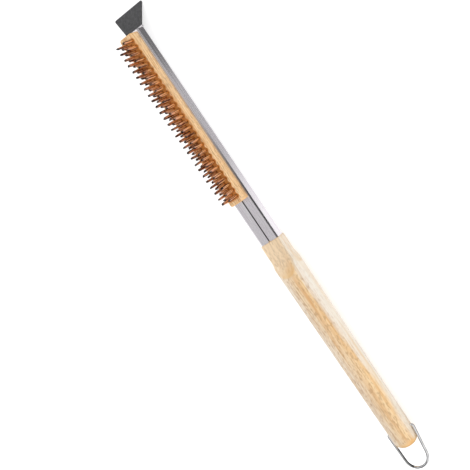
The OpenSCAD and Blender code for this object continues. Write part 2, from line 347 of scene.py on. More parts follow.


# %% [markdown]
# ### What each piece of wood adds
# The handle's neck was sanded most, so its stripes even out into one tone, apart from its pale
# near side, which is painted light. Its tenon was set in black glue inside the tube, and shows as a
# black line in the seam. The block's face is painted dark orange between the tufts: painted shade,
# with the copper's bounce light painted in, and it follows the holes in a scalloped edge.


# %% The handle's and the block's wood
def handle_finish():
    # Painted light: the pale stripes at -14 and -11.5 mm are the lit near side.
    stripes = [(-14, (0.87, 0.81, 0.72)), (-11.5, (0.85, 0.745, 0.61)), (-9, (0.87, 0.65, 0.38)),
               (-6.5, (0.85, 0.62, 0.36)), (0, (0.88, 0.70, 0.48)), (8, (0.99, 0.88, 0.74))]
    finish, tree, shader, tone, place = wood("handle_wood", stripes, heart=(30, -58), ring_mm=5.2)
    neck_tone_ends, neck_tone_starts, neck_share = SHOULDER_X - 46, SHOULDER_X - 16, 0.8
    near_neck = spread(tree, place["X"], neck_tone_ends * MM, neck_tone_starts * MM, 0.0, neck_share)
    # The near side keeps its pale stripes, which are painted light, and is not evened.
    painted_light_ends, painted_light_gone = -11.2, -9.8
    past_painted_light = spread(tree, place["Y"], painted_light_ends * MM, painted_light_gone * MM)
    off_the_scoops = reckon(tree, "MULTIPLY_ADD", cut_across(tree), -0.8, 1.0)
    even = reckon(tree, "MULTIPLY", reckon(tree, "MULTIPLY", near_neck, past_painted_light), off_the_scoops)
    tone = mixed(tree, even, tone, (0.97, 0.71, 0.45, 1.0), "COLOR")
    tone = mixed(tree, reckon(tree, "MULTIPLY", even, 0.18), tone, (1.0, 0.86, 0.62, 1.0))
    glue_starts, glue_full = SHOULDER_X + 1.2, SHOULDER_X + 1.9
    glued = spread(tree, place["X"], glue_starts * MM, glue_full * MM)
    tree.links.new(mixed(tree, glued, tone, (0.035, 0.02, 0.012, 1.0)), shader.inputs["Base Color"])
    return finish


TUFT_PITCH = 6.65
# Painted shade: these sizes place the dark orange painted on the block's face between the tufts.
PAINTED_SHADE_HALF = 6.4
PAINTED_SHADE_SCALLOP = 0.7
PAINTED_SHADE_MARGIN = 4.0


def block_finish():
    """The painted shade on the face reaches PAINTED_SHADE_HALF mm either side of the middle,
    PAINTED_SHADE_SCALLOP mm more beside each tuft of the outer rows, and stops PAINTED_SHADE_MARGIN mm
    before the ends."""
    stripes = [(-10, (0.99, 0.71, 0.41)), (10, (0.94, 0.65, 0.34))]
    finish, tree, shader, tone, place = wood("block_wood", stripes, heart=(-20, 80), ring_mm=3.4,
                                             contrast=1.35)
    from_middle = reckon(tree, "SUBTRACT", place["X"], block_x * MM)
    wave = reckon(tree, "COSINE", reckon(tree, "MULTIPLY", from_middle, math.tau / (TUFT_PITCH * MM)))
    off_axis = reckon(tree, "ABSOLUTE", place["Y"])
    beside = reckon(tree, "MULTIPLY_ADD", wave, PAINTED_SHADE_SCALLOP * MM, off_axis)
    share = spread(tree, beside, (PAINTED_SHADE_HALF + 0.35) * MM, (PAINTED_SHADE_HALF - 0.15) * MM)
    ends = block_len / 2 - PAINTED_SHADE_MARGIN
    inside = spread(tree, reckon(tree, "ABSOLUTE", from_middle), ends * MM, (ends - 1) * MM)
    on_face = spread(tree, place["Z"], (FACE_Z - 0.4) * MM, (FACE_Z - 0.1) * MM)
    share = reckon(tree, "MULTIPLY", share, reckon(tree, "MULTIPLY", inside, on_face))
    # Painted shade and painted copper bounce light: the face between the tufts is painted dark orange.
    tree.links.new(mixed(tree, share, tone, (0.59, 0.22, 0.035, 1.0)), shader.inputs["Base Color"])
    return finish


handle_wood = handle_finish()
block_wood = block_finish()
print("woods:", handle_wood.name, block_wood.name)

# %% [markdown]
# ## Steel
# The sheet is stainless steel, brushed along its length before it was folded: hundreds of fine
# parallel scratches that stretch a highlight across them. A noise that is very narrow across the
# length and very long along it gives those lines, in the roughness and as a bump. The scraper's
# face is rougher, and its colour is painted dark grey, a painted dark reflection; a soft step in
# the pattern along X parts the two. The seam's two edges were sheared and never polished, so
# they are nearly black.


# %% The steel finishes
TONGUE_LEN = 2.0
BLADE_STEP = 0.4
SHEARED_OUTER, SHEARED_INNER = 0.68, 0.56


def sheet_steel():
    finish, tree, shader = start_material("sheet_steel", Metallic=1.0)
    lines = noise(tree, stretched(tree, (12, 2600, 2600)), detail=4, roughness=0.7)
    smear = noise(tree, stretched(tree, (30, 160, 160), (2, 4, 6)), detail=4)
    mottle = noise(tree, stretched(tree, (420, 420, 420), (5, 1, 2)), detail=5, roughness=0.65)
    place = parts_of(tree, "Object")
    tube_tone = colours(tree, lines, [(0.35, (0.72, 0.69, 0.72)), (0.65, (0.84, 0.81, 0.84))])
    smeared = colours(tree, smear, [(0.35, (0.94, 0.92, 0.94)), (0.65, CLEAR)])
    tube_tone = mixed(tree, 0.8, tube_tone, smeared, "MULTIPLY")
    off_axis = reckon(tree, "ABSOLUTE", place["Y"])
    near_seam = spread(tree, off_axis, SHEARED_OUTER * MM, SHEARED_INNER * MM)
    in_front = spread(tree, place["Z"], AXIS_Z * MM, (AXIS_Z + 1) * MM)
    sheared = reckon(tree, "MULTIPLY", near_seam, in_front)
    tube_tone = mixed(tree, sheared, tube_tone, (0.02, 0.018, 0.018, 1.0))
    # Painted reflection: the scraper's colour is painted dark grey, standing in for the dark
    # surroundings it reflects.
    blade_painted_reflection = colours(tree, mottle, [(0.35, (0.145, 0.145, 0.15)), (0.65, (0.21, 0.21, 0.215))])
    blade_x = TUBE_END_X + TONGUE_LEN
    on_blade = spread(tree, place["X"], (blade_x - BLADE_STEP) * MM, (blade_x + BLADE_STEP) * MM)
    tree.links.new(mixed(tree, on_blade, tube_tone, blade_painted_reflection), shader.inputs["Base Color"])
    tube_rough = spread(tree, lines, 0.3, 0.7, 0.22, 0.34)
    blade_rough = spread(tree, mottle, 0.3, 0.7, 0.36, 0.46)
    rough = tree.nodes.new("ShaderNodeMix")
    for socket, value in ((0, on_blade), (2, tube_rough), (3, blade_rough)):
        feed(tree, rough.inputs[socket], value)
    tree.links.new(rough.outputs[0], shader.inputs["Roughness"])
    bumped(tree, shader, lines, 0.010, 0.35)
    return finish


def drawn_wire(name, dark, light, roughness):
    """Bright drawn wire or a plated screw: between its dark and light tones in small duller patches."""
    finish, tree, shader = start_material(name, Metallic=1.0)
    patch = noise(tree, stretched(tree, (240, 240, 240)), detail=4)
    tree.links.new(colours(tree, patch, [(0.35, dark), (0.65, light)]), shader.inputs["Base Color"])
    duller = spread(tree, patch, 0.3, 0.7, roughness + 0.08, roughness)
    tree.links.new(duller, shader.inputs["Roughness"])
    bumped(tree, shader, patch, 0.01, 0.25)
    return finish


steel = sheet_steel()
bail_steel = drawn_wire("bail_wire", (0.66, 0.66, 0.67), (0.84, 0.84, 0.85), 0.06)
screw_steel = drawn_wire("screw_steel", (0.42, 0.42, 0.42), (0.58, 0.57, 0.55), 0.28)
anchor_steel = drawn_wire("anchor_steel", (0.30, 0.30, 0.31), (0.42, 0.42, 0.43), 0.35)
print("steels:", steel.name, bail_steel.name, screw_steel.name, anchor_steel.name)

# %% [markdown]
# ## Copper-coloured wire
# The bristles are steel wire with a copper coat. Its colour follows the height: a little deeper
# orange at the foot, bright above, and darker towards the tips. Wires of a tuft differ: some stay
# bright and some are dark, more so towards the tips. A pattern that changes only across the brush,
# and not with height, gives every upright wire its own.


# %% The bristle finish
BRISTLE_LEN = 18.0
DARKENING_SHIFT = 10.0


def bristle_wire():
    """Up is 0 at the block's face and 1 at the tips, shifted by up to half of DARKENING_SHIFT mm from
    wire to wire."""
    finish, tree, shader = start_material("bristle_wire", Metallic=0.25, Specular_IOR_Level=0.15)
    each = noise(tree, stretched(tree, (1000, 1000, 0)), detail=1)
    shifted = reckon(tree, "MULTIPLY_ADD", each, -DARKENING_SHIFT * MM, parts_of(tree, "Object")["Z"])
    foot = FACE_Z - DARKENING_SHIFT / 2
    up = spread(tree, shifted, foot * MM, (foot + BRISTLE_LEN) * MM)
    coat = colours(tree, up, [(0.0, (0.92, 0.36, 0.07)), (0.16, (1.0, 0.52, 0.21)),
                              (0.50, (1.0, 0.50, 0.23)), (0.78, (1.0, 0.55, 0.35)),
                              (0.91, (0.40, 0.24, 0.18)), (1.0, (0.055, 0.04, 0.034))])
    own = colours(tree, each, [(0.45, (0.10, 0.03, 0.012)), (0.51, CLEAR)])
    darker_share = spread(tree, up, 0.1, 0.4, 0.62, 1.0)
    tree.links.new(mixed(tree, darker_share, coat, own, "MULTIPLY"), shader.inputs["Base Color"])
    tree.links.new(spread(tree, each, 0.3, 0.7, 0.50, 0.34), shader.inputs["Roughness"])
    scratch = noise(tree, stretched(tree, (900, 900, 90), (1, 2, 3)), detail=3)
    bumped(tree, shader, scratch, 0.02, 0.4)
    return finish


bristles = bristle_wire()
print("bristles:", bristles.name)

# %% [markdown]
# ## The steel sheet, folded as in a press
# On the real brush one flat strip is cut, scored and folded: four folds make the tube, and the
# strip of its back wall that goes on past the end is bent down and flared as the scraper. A section
# swept along the length would give the tube, but not the scraper that grows out of one wall. So the
# sheet is folded here as it is in the works: a flat face is cut along its fold lines, and
# everything beyond a line is turned about it, a few degrees at a time. One more line is cut just
# beside each fold, HOLD mm away, so that smooth shading stops there and the walls look flat.

# %% The flat sheet's sizes
SHEET_T = 1.0
FOLD_R = 2.0
FOLD_STEPS = 8
SEAM_GAP = 0.8
NOTCH_W = 3.0
NOTCH_LEN = 2.2
BEND_R = 3.0
BEND_STEPS = 6
BLADE_ANGLE = 30.0
BLADE_LEN = 22.5
BLADE_W = 39.0
BLADE_CORNER_R = 1.6
RELIEF_R = 1.0
RELIEF_EDGE = 0.05
RELIEF_STEPS = 6
HOLD = 0.12
TUBE_LEN = TUBE_END_X - SHOULDER_X


def fold_lines(start, radius, angle, steps):
    """Where the lines of one fold lie on the flat sheet, and how far each of them turns."""
    turn = angle / steps
    chord = 2 * radius * math.sin(math.radians(turn) / 2)
    return [(start + i * chord, turn / 2 if i in (0, steps) else turn) for i in range(steps + 1)]


def held(folds):
    """The places of a fold's lines, with the line that holds the flat on either side of it."""
    return [folds[0][0] - HOLD] + [place for place, _ in folds] + [folds[-1][0] + HOLD]


lower_folds = fold_lines(TUBE_W / 2 - FOLD_R, FOLD_R, 90, FOLD_STEPS)
upper_folds = fold_lines(lower_folds[-1][0] + TUBE_H - 2 * FOLD_R, FOLD_R, 90, FOLD_STEPS)
half_sheet = upper_folds[-1][0] + TUBE_W / 2 - FOLD_R - SEAM_GAP / 2
print("the flat sheet is", round(TUBE_LEN, 1), "by", round(2 * half_sheet, 2), "mm before folding")


# %% Cut the strip and score its folds
def cut_line(bm, where, axis):
    """Cuts the mesh along a straight line across the sheet, at a place on the given axis."""
    point, normal = Vector((0, 0, 0)), Vector((0, 0, 0))
    point[axis], normal[axis] = where, 1
    everything = bm.verts[:] + bm.edges[:] + bm.faces[:]
    bmesh.ops.bisect_plane(bm, geom=everything, dist=NEAR / 2, plane_co=point, plane_no=normal)


def flat_strip():
    bm = bmesh.new()
    bmesh.ops.create_grid(bm, x_segments=1, y_segments=1, size=0.5)
    bmesh.ops.scale(bm, vec=(TUBE_LEN, 2 * half_sheet, 1), verts=bm.verts)
    bmesh.ops.translate(bm, vec=(TUBE_LEN / 2, 0, 0), verts=bm.verts)
    notch_depth = NOTCH_LEN * (1 - SEAM_GAP / NOTCH_W)
    for x in (notch_depth, TUBE_LEN - notch_depth):
        cut_line(bm, x, 0)
    for corner in [v for v in bm.verts if v.co.x < NEAR or v.co.x > TUBE_LEN - NEAR]:
        corner.co.y -= math.copysign((NOTCH_W - SEAM_GAP) / 2, corner.co.y)
    for place in held(lower_folds) + held(upper_folds):
        cut_line(bm, place, 1)
        cut_line(bm, -place, 1)
    return bm


strip = flat_strip()
print("the strip has", len(strip.faces), "faces after scoring")


# %% [markdown]
# ### Folding
# The outermost line is folded first. Everything inside it is still flat then, so each line is found
# where it was scored, and no sum of earlier turns has to be kept. The back wall lies at Z = 0 with
# its outer side down.


# %% Fold the tube
def fold_tube(bm):
    flat_y = {v: v.co.y for v in bm.verts}
    for side in (1, -1):
        for place, turn in reversed(lower_folds + upper_folds):
            beyond = [v for v, y in flat_y.items() if side * y > place + NEAR]
            rotation = Matrix.Rotation(math.radians(side * turn), 3, "X")
            bmesh.ops.rotate(bm, cent=(0, side * place, 0), matrix=rotation, verts=beyond)


fold_tube(strip)
print("folded to", round(max(v.co.z for v in strip.verts), 3), "mm high")

# %% [markdown]
# ### The scraper
# Its flat outline starts at the back wall's end, with a small round relief on either side, where
# the cutter freed it from the tube's sides. Its two outer corners are rounded, and its bend is made
# like the folds.


# %% Add the scraper and bend it down
def relief_points():
    """The round relief beside the tongue, from the back wall's corner out to the tongue's own."""
    turns = [math.pi * i / RELIEF_STEPS for i in range(1, RELIEF_STEPS)]
    middle = TUBE_W / 2 - FOLD_R + RELIEF_R
    return [(TUBE_LEN + RELIEF_R * math.sin(t), middle - RELIEF_R * math.cos(t)) for t in turns]


def add_scraper(bm):
    bend = fold_lines(TUBE_LEN + TONGUE_LEN, BEND_R, BLADE_ANGLE, BEND_STEPS)
    tip_x = bend[-1][0] + BLADE_LEN
    root = [v for v in bm.verts if v.co.x > TUBE_LEN - NEAR and v.co.z < NEAR
            and abs(v.co.y) < TUBE_W / 2 - FOLD_R + NEAR]
    root.sort(key=lambda v: v.co.y)
    right = relief_points() + [(TUBE_LEN + x, TUBE_W / 2) for x in (RELIEF_EDGE, TONGUE_LEN)]
    left = [(x, -y) for x, y in reversed(right)]
    tips = [(tip_x, BLADE_W / 2), (tip_x, -BLADE_W / 2)]
    new = [bm.verts.new((x, y, 0)) for x, y in right + tips + left]
    bm.faces.new(root + new)
    flare = math.atan2((BLADE_W - TUBE_W) / 2, tip_x - TUBE_LEN - TONGUE_LEN)
    corners = [v for v in new if v.co.x > tip_x - NEAR]
    rounded(bm, corners, BLADE_CORNER_R * math.tan(math.pi / 4 + flare / 2), 8, "VERTICES")
    for place in held(bend):
        cut_line(bm, place, 0)
    flat_x = {v: v.co.x for v in bm.verts if v.co.x > TUBE_LEN + NEAR}
    for place, turn in reversed(bend):
        beyond = [v for v, x in flat_x.items() if x > place + NEAR]
        rotation = Matrix.Rotation(math.radians(turn), 3, "Y")
        bmesh.ops.rotate(bm, cent=(place, 0, 0), matrix=rotation, verts=beyond)
    return flare


print("scraper flares by", round(math.degrees(add_scraper(strip)), 2), "degrees a side")
bmesh.ops.translate(strip, vec=(SHOULDER_X, 0, BACK_Z), verts=strip.verts)
shank = finish_piece(strip, "folded_shank", "brush", "steel_shank", steel, sharp=50)

# %% [markdown]
# ### Thickness
# The sheet gets its millimetre of steel inwards, so the outside keeps the tube's size, and then its
# cut edges are rounded over a little, as they are after tumbling. The wall must grow away from the
# outer side, so the printed check says which way the back wall faces.

# %% Give the sheet its thickness
CUT_EDGE_ROUND = 0.22


def round_edges(piece, width_mm, angle=40.0):
    """Rounds the piece's edges that are steeper than angle degrees."""
    bevel = piece.modifiers.new("round_edges", "BEVEL")
    bevel.width = width_mm * MM
    bevel.segments = 3
    bevel.limit_method = "ANGLE"
    bevel.angle_limit = math.radians(angle)
    bevel.harden_normals = True


level_faces = [p for p in shank.data.polygons if abs(p.normal.z) > 0.99]
back_faces = [p for p in level_faces if p.center.z < (BACK_Z + 0.1) * MM]
outward = sum(p.normal.z * p.area for p in back_faces) < 0
thickness = shank.modifiers.new("sheet", "SOLIDIFY")
thickness.thickness = SHEET_T * MM
thickness.offset = -1.0 if outward else 1.0
thickness.use_even_offset = True
round_edges(shank, CUT_EDGE_ROUND)
print("back wall faces down:", outward)

# %% [markdown]
# ## The block, drilled for its tufts
# The block is a planed bar with rounded upright corners and softened edges. Every tuft stands in
# its own blind hole, and the rims show between the wires. Cutting 83 holes out with booleans is
# slow and leaves ragged faces, so the top is made the other way round: its outline and the 83 rims
# are drawn as loops, and one triangle fill closes only what lies between them. Each rim is then
# drawn down as a hole.

# %% The tufts' places
ROW_PITCH = 4.2
TUFT_MARGIN = 7.0
HOLE_R = 1.7
HOLE_DEPTH = 8.0
BLOCK_CORNER_R = 2.5
BLOCK_SOFT = 0.8
outer_count = int((block_len - 2 * TUFT_MARGIN) / TUFT_PITCH) + 1


def row_places(row):
    """The tufts of row -1, 0 or 1; the middle row has one fewer and stands half a pitch out of step."""
    count = outer_count - 1 if row == 0 else outer_count
    return [(block_x + (i - (count - 1) / 2) * TUFT_PITCH, row * ROW_PITCH) for i in range(count)]


all_places = row_places(-1) + row_places(0) + row_places(1)
print(len(all_places), "tufts, outer rows of", outer_count)


# %% The drilled block
def bar(bm, size, middle):
    """A plain bar of the given size, to be worked on."""
    verts = bmesh.ops.create_cube(bm, size=1.0)["verts"]
    bmesh.ops.scale(bm, vec=size, verts=verts)
    bmesh.ops.translate(bm, vec=middle, verts=verts)
    return verts


def runs_along(edge, axis):
    """Whether an edge is one of the bar's long ones along the axis."""
    return abs(edge.verts[0].co[axis] - edge.verts[1].co[axis]) > 1


def drilled_block():
    bm = bmesh.new()
    bar(bm, (block_len, block_w, FACE_Z - FRONT_Z), (block_x, 0, (FACE_Z + FRONT_Z) / 2))
    rounded(bm, [e for e in bm.edges if runs_along(e, 2)], BLOCK_CORNER_R, 10)
    rounded(bm, [e for e in bm.edges if all(v.co.z > FACE_Z - NEAR for v in e.verts)], BLOCK_SOFT, 5)
    top = max(bm.faces, key=lambda f: f.calc_center_median().z * 1000 + f.calc_area())
    border = list(top.edges)
    bmesh.ops.delete(bm, geom=[top], context="FACES_ONLY")
    rims = []
    for x, y in all_places:
        ring = bmesh.ops.create_circle(bm, cap_ends=False, segments=20, radius=HOLE_R)["verts"]
        bmesh.ops.translate(bm, vec=(x, y, FACE_Z), verts=ring)
        rims += {e for v in ring for e in v.link_edges}
    bmesh.ops.triangle_fill(bm, use_beauty=True, use_dissolve=False, edges=border + rims,
                            normal=(0, 0, 1))
    bottoms = new_verts(bmesh.ops.extrude_edge_only(bm, edges=rims)["geom"])
    bmesh.ops.translate(bm, vec=(0, 0, -HOLE_DEPTH), verts=bottoms)
    bmesh.ops.holes_fill(bm, edges=new_edges(bottoms), sides=0)
    return bm


finish_piece(drilled_block(), "drilled_block", "brush", "brush_block", block_wood,
             sharp=30)

# %% [markdown]
# ## The wire tufts
# A tuft is a bundle of wires folded in half and stapled down its hole, so about nine ends stand up
# close together. They bow a little apart, are cut to slightly different lengths, and are never
# quite straight. One wire is a thin ring drawn up in five steps, and three of them nudge it
# sideways. A few tufts are made, and each place takes one of them, turned by a different angle,
# which is how a hand-set brush looks without modelling 750 wires one by one.

# %% A few different tufts
WIRE_D = 0.80
WIRE_SIDES = 6
WIRES = 9
PACK_R = 1.05
WIRE_FOOT = 2.0
WIRE_STEPS = ((0.3, 1), (0.35, -0.4), (0.31, -0.7), (0.04, 0))
WIRE_WANDER = 0.05
TIP_SCALE = 0.7
BOW_SHARE, BOW_SPREAD = 0.25, 0.08
CUT_SPREAD = 0.6
GOLDEN_ANGLE, ANGLE_SPREAD = 2.39996, 0.3
TUFT_KINDS = 6


def one_wire(bm, foot, bow, length, rng):
    """A wire from inside its hole to its tip. Each of WIRE_STEPS is a share of the length, and how
    far the wire goes out along its bow there: out as it leaves the hole, and back in to the tip."""
    ring = bmesh.ops.create_circle(bm, cap_ends=True, segments=WIRE_SIDES, radius=WIRE_D / 2)["verts"]
    bmesh.ops.translate(bm, vec=(foot.x, foot.y, -WIRE_FOOT), verts=ring)
    ring = draw_on(bm, ring, (0, 0, WIRE_FOOT))
    for share, out in WIRE_STEPS:
        step = bow * out + Vector((0, 0, length * share))
        if out:
            aside = [rng.uniform(-WIRE_WANDER, WIRE_WANDER) for axis in "xy"]
            step += Vector((*aside, 0))
        ring = draw_on(bm, ring, step)
    middle = sum((v.co for v in ring), Vector()) / len(ring)
    bmesh.ops.scale(bm, vec=(TIP_SCALE, TIP_SCALE, 1), space=Matrix.Translation(-middle), verts=ring)
    bmesh.ops.edgeloop_fill(bm, edges=new_edges(ring))


def one_tuft(seed):
    """Wires packed as seeds are in a sunflower: each a golden angle on, and a little further out."""
    rng = random.Random(seed)
    bm = bmesh.new()
    for i in range(WIRES):
        golden = i * GOLDEN_ANGLE + rng.uniform(-ANGLE_SPREAD, ANGLE_SPREAD)
        away = PACK_R * math.sqrt((i + 0.35) / WIRES)
        foot = Vector((away * math.cos(golden), away * math.sin(golden), 0))
        bow = foot * BOW_SHARE + Vector((rng.gauss(0, BOW_SPREAD), rng.gauss(0, BOW_SPREAD), 0))
        one_wire(bm, foot, bow, BRISTLE_LEN + CUT_SPREAD - abs(rng.gauss(0, CUT_SPREAD)), rng)
    bmesh.ops.recalc_face_normals(bm, faces=bm.faces)
    mesh = bpy.data.meshes.new(f"tuft_{seed}")
    bm.to_mesh(mesh)
    bm.free()
    return mesh


tuft_kinds = [one_tuft(seed) for seed in range(TUFT_KINDS)]
print("one tuft has", len(tuft_kinds[0].polygons), "faces")


# %% Set the tufts in their holes
ROW_SEED = 40
LEAN_ALONG, LEAN_ACROSS = math.radians(1.2), math.radians(0.5)


def row_of_tufts(row, name, node):
    rng = random.Random(ROW_SEED + row)
    bm = bmesh.new()
    for x, y in row_places(row):
        first = len(bm.verts)
        bm.from_mesh(rng.choice(tuft_kinds))
        bm.verts.ensure_lookup_table()
        fresh = bm.verts[first:]
        turn = rng.uniform(0, 2 * math.pi)
        lean, side = rng.gauss(0, LEAN_ALONG), rng.gauss(0, LEAN_ACROSS)
        for angle, axis in ((turn, "Z"), (lean, "Y"), (side, "X")):
            bmesh.ops.rotate(bm, cent=(0, 0, 0), matrix=Matrix.Rotation(angle, 3, axis), verts=fresh)
        bmesh.ops.translate(bm, vec=(x, y, FACE_Z), verts=fresh)
    finish_piece(bm, name, "brush", node, bristles, sharp=65)


row_of_tufts(1, "wires_left", "tufts_left")
row_of_tufts(0, "wires_middle", "tufts_middle")
row_of_tufts(-1, "wires_right", "tufts_right")
for mesh in tuft_kinds:
    bpy.data.meshes.remove(mesh)

# %% [markdown]
# ## The turned handle
# The handle is turned on a lathe, so a profile spun round its axis gives the body. Two pairs of
# scoops then cut it down to a rectangular neck that meets the tube. A boolean would leave a knife
# edge where each scoop leaves the round, but a sander has been there on the real one. So each point
# of the spun body is drawn in to the nearest of the round and the four scoops, with a soft minimum
# that blends where two of them meet.

# %% The handle's sizes
HANDLE_LEN = SHOULDER_X - handle_low.x
HANDLE_R = 14.8
HANDLE_END_R = 12.6
END_ROUND = 9.5
NECK_LEN = 18.0
NECK_STEP = 0.6
SCOOP_R = 36.0
SCOOP_SPAN = 27.0
EDGE_SOFT = 0.5
SOFTNESS = 60.0
TURN_STEPS = 180
TENON_LEN = 30.0
TENON_ROOT = 1.0
TENON_GAP = 0.1
TENON_EDGE_R = 0.9


def turned_radius(along):
    """Radius of the plain turned body at a distance from the shoulder."""
    taper = HANDLE_R + (HANDLE_END_R - HANDLE_R) * along / HANDLE_LEN
    into_round = along - (HANDLE_LEN - END_ROUND)
    if into_round <= 0:
        return taper
    return taper - END_ROUND + math.sqrt(max(END_ROUND ** 2 - into_round ** 2, 0))


def scooped_half(half, along):
    """Half the width that a pair of scoops leaves, with the shoulder's edge softened."""
    soft = max(EDGE_SOFT - along, 0)
    half -= EDGE_SOFT - math.sqrt(max(EDGE_SOFT ** 2 - soft ** 2, 0)) if soft else 0
    past = along - NECK_LEN
    if past <= 0:
        return half
    if past >= SCOOP_R * 0.9:
        return 2 * HANDLE_R
    return half + SCOOP_R - math.sqrt(SCOOP_R ** 2 - past ** 2)


print("handle", round(HANDLE_LEN, 2), "mm long, neck", TUBE_W + 2 * NECK_STEP, "mm wide")


# %% Spin and shape the handle
def handle_stations():
    """Distances from the shoulder at which the profile has a point: closer where the shape turns."""
    edge = [EDGE_SOFT * (1 - math.cos(math.pi / 2 * i / 4)) for i in range(5)]
    neck = [EDGE_SOFT + (NECK_LEN - EDGE_SOFT) * i / 10 for i in range(1, 10)]
    scoops = [NECK_LEN + SCOOP_SPAN * i / 54 for i in range(55)]
    body_start, body_end = NECK_LEN + SCOOP_SPAN, HANDLE_LEN - END_ROUND
    body = [body_start + (body_end - body_start) * i / 50 for i in range(1, 51)]
    cap = [body_end + END_ROUND * math.sin(math.pi / 2 * i / 16) for i in range(1, 17)]
    return edge + neck + scoops + body + cap


def cut_scoops(bm):
    """Draws every point of the turned body in to the nearest of the round and the four scoops."""
    for v in bm.verts:
        radius = math.hypot(v.co.y, v.co.z)
        if radius < NEAR:
            continue
        wide = scooped_half(TUBE_W / 2 + NECK_STEP, -v.co.x) * radius / max(abs(v.co.y), NEAR)
        tall = scooped_half(TUBE_H / 2 + NECK_STEP, -v.co.x) * radius / max(abs(v.co.z), NEAR)
        soft = sum(limit ** -SOFTNESS for limit in (radius, wide, tall)) ** (-1 / SOFTNESS)
        v.co.y *= soft / radius
        v.co.z *= soft / radius


def turned_handle():
    bm = bmesh.new()
    body = [(s, turned_radius(s)) for s in handle_stations()]
    points = [bm.verts.new((-s, 0, r)) for s, r in [(0.0, 0.0)] + body + [(HANDLE_LEN, 0.0)]]
    chain = [bm.edges.new(pair) for pair in zip(points, points[1:])]
    bmesh.ops.spin(bm, geom=points + chain, cent=(0, 0, 0), axis=(1, 0, 0), angle=2 * math.pi,
                   steps=TURN_STEPS, use_merge=True, use_duplicate=False)
    bmesh.ops.remove_doubles(bm, verts=bm.verts, dist=NEAR)
    cut_scoops(bm)
    walls = 2 * (SHEET_T + TENON_GAP)
    size = (TENON_LEN + TENON_ROOT, TUBE_W - walls, TUBE_H - walls)
    tenon = bar(bm, size, ((TENON_LEN - TENON_ROOT) / 2, 0, 0))
    rounded(bm, [e for e in new_edges(tenon) if runs_along(e, 0)], TENON_EDGE_R, 4)
    bmesh.ops.translate(bm, vec=(SHOULDER_X, 0, AXIS_Z), verts=bm.verts)
    return bm


finish_piece(turned_handle(), "turned_handle", "brush", "handle", handle_wood, sharp=38)

# %% [markdown]
# ## The wire bail
# The bail is one length of bright wire: a pin in the handle, a tight bend, a leg that leans in, the
# bow, and the same again. A curve with a round bevel would draw it, but its ends and its seam are
# then hard to close. A ring that is drawn along each straight and spun round each bend follows the
# wire exactly as a bender would.

# %% The bail's sizes
BAIL_R = 1.3
HOLE_FROM_END = 18.0
HOLE_FROM_SHOULDER = HANDLE_LEN - HOLE_FROM_END
BAIL_REACH = 42.5
BAIL_BEND_R = 2.0
BAIL_TAPER = math.radians(5)
BAIL_GAP = 0.3
PIN_LEN = 7.0
BAIL_LIFT = math.radians(6)
pin_side = turned_radius(HOLE_FROM_SHOULDER)
bend_y = pin_side + BAIL_GAP
leg_y = bend_y + BAIL_BEND_R * (1 + math.sin(BAIL_TAPER)) / math.cos(BAIL_TAPER)
bow_r = (leg_y * math.cos(BAIL_TAPER) - BAIL_REACH * math.sin(BAIL_TAPER)) / (1 - math.sin(BAIL_TAPER))
bow_x = bow_r - BAIL_REACH
leg_len = (BAIL_REACH - bow_r + bow_r * math.sin(BAIL_TAPER)
           - BAIL_BEND_R * (1 + math.sin(BAIL_TAPER))) / math.cos(BAIL_TAPER)
print("bow radius", round(bow_r, 2), "mm, legs", round(leg_len, 2), "mm")


# %% Bend the wire
WIRE_ROUND = 20
BEND_STEPS_TIGHT, BEND_STEPS_BOW = 10, 36


def bend_on(bm, ring, centre, angle, steps):
    """Spins the open ring about an upright line, which makes one bend of the wire."""
    swept = bmesh.ops.spin(bm, geom=ring + new_edges(ring), cent=centre, axis=(0, 0, 1), angle=angle,
                           steps=steps, use_duplicate=False)
    return new_verts(swept["geom_last"])


def bent_bail():
    bm = bmesh.new()
    ring = bmesh.ops.create_circle(bm, cap_ends=True, segments=WIRE_ROUND, radius=BAIL_R)["verts"]
    bmesh.ops.rotate(bm, cent=(0, 0, 0), matrix=Matrix.Rotation(math.pi / 2, 3, "X"), verts=ring)
    bmesh.ops.translate(bm, vec=(0, pin_side - PIN_LEN, 0), verts=ring)
    pin = (0, bend_y - pin_side + PIN_LEN, 0)
    leg = Vector((-math.cos(BAIL_TAPER), -math.sin(BAIL_TAPER), 0)) * leg_len
    tight_angle, bow_angle = math.pi / 2 + BAIL_TAPER, math.pi - 2 * BAIL_TAPER
    ring = draw_on(bm, ring, pin)
    ring = bend_on(bm, ring, (-BAIL_BEND_R, bend_y, 0), tight_angle, BEND_STEPS_TIGHT)
    ring = draw_on(bm, ring, leg)
    ring = bend_on(bm, ring, (bow_x, 0, 0), bow_angle, BEND_STEPS_BOW)
    ring = draw_on(bm, ring, (-leg.x, leg.y, 0))
    ring = bend_on(bm, ring, (-BAIL_BEND_R, -bend_y, 0), tight_angle, BEND_STEPS_TIGHT)
    ring = draw_on(bm, ring, pin)
    bmesh.ops.edgeloop_fill(bm, edges=new_edges(ring))
    bmesh.ops.remove_doubles(bm, verts=bm.verts, dist=NEAR / 2)
    bmesh.ops.rotate(bm, cent=(0, 0, 0), matrix=Matrix.Rotation(BAIL_LIFT, 3, "Y"), verts=bm.verts)
    bmesh.ops.translate(bm, vec=(SHOULDER_X - HOLE_FROM_SHOULDER, 0, AXIS_Z), verts=bm.verts)
    return bm


finish_piece(bent_bail(), "bent_bail", "bail", "hanging_bail", bail_steel, sharp=60)

# %% [markdown]
# ## Screws and staples
# The screws' heads on the brush's back and the staples deep in the tuft holes already have their
# right shape as solids, so they stay, and only get their finish.

# %% Finish the solids that stay
small_metal = {"block_screws": screw_steel, "tenon_screw": screw_steel, "tuft_anchors": anchor_steel}
for node, finish in small_metal.items():
    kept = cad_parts[node]
    kept.data.materials.clear()
    kept.data.materials.append(finish)
    print(node, "keeps its solid, with", finish.name)

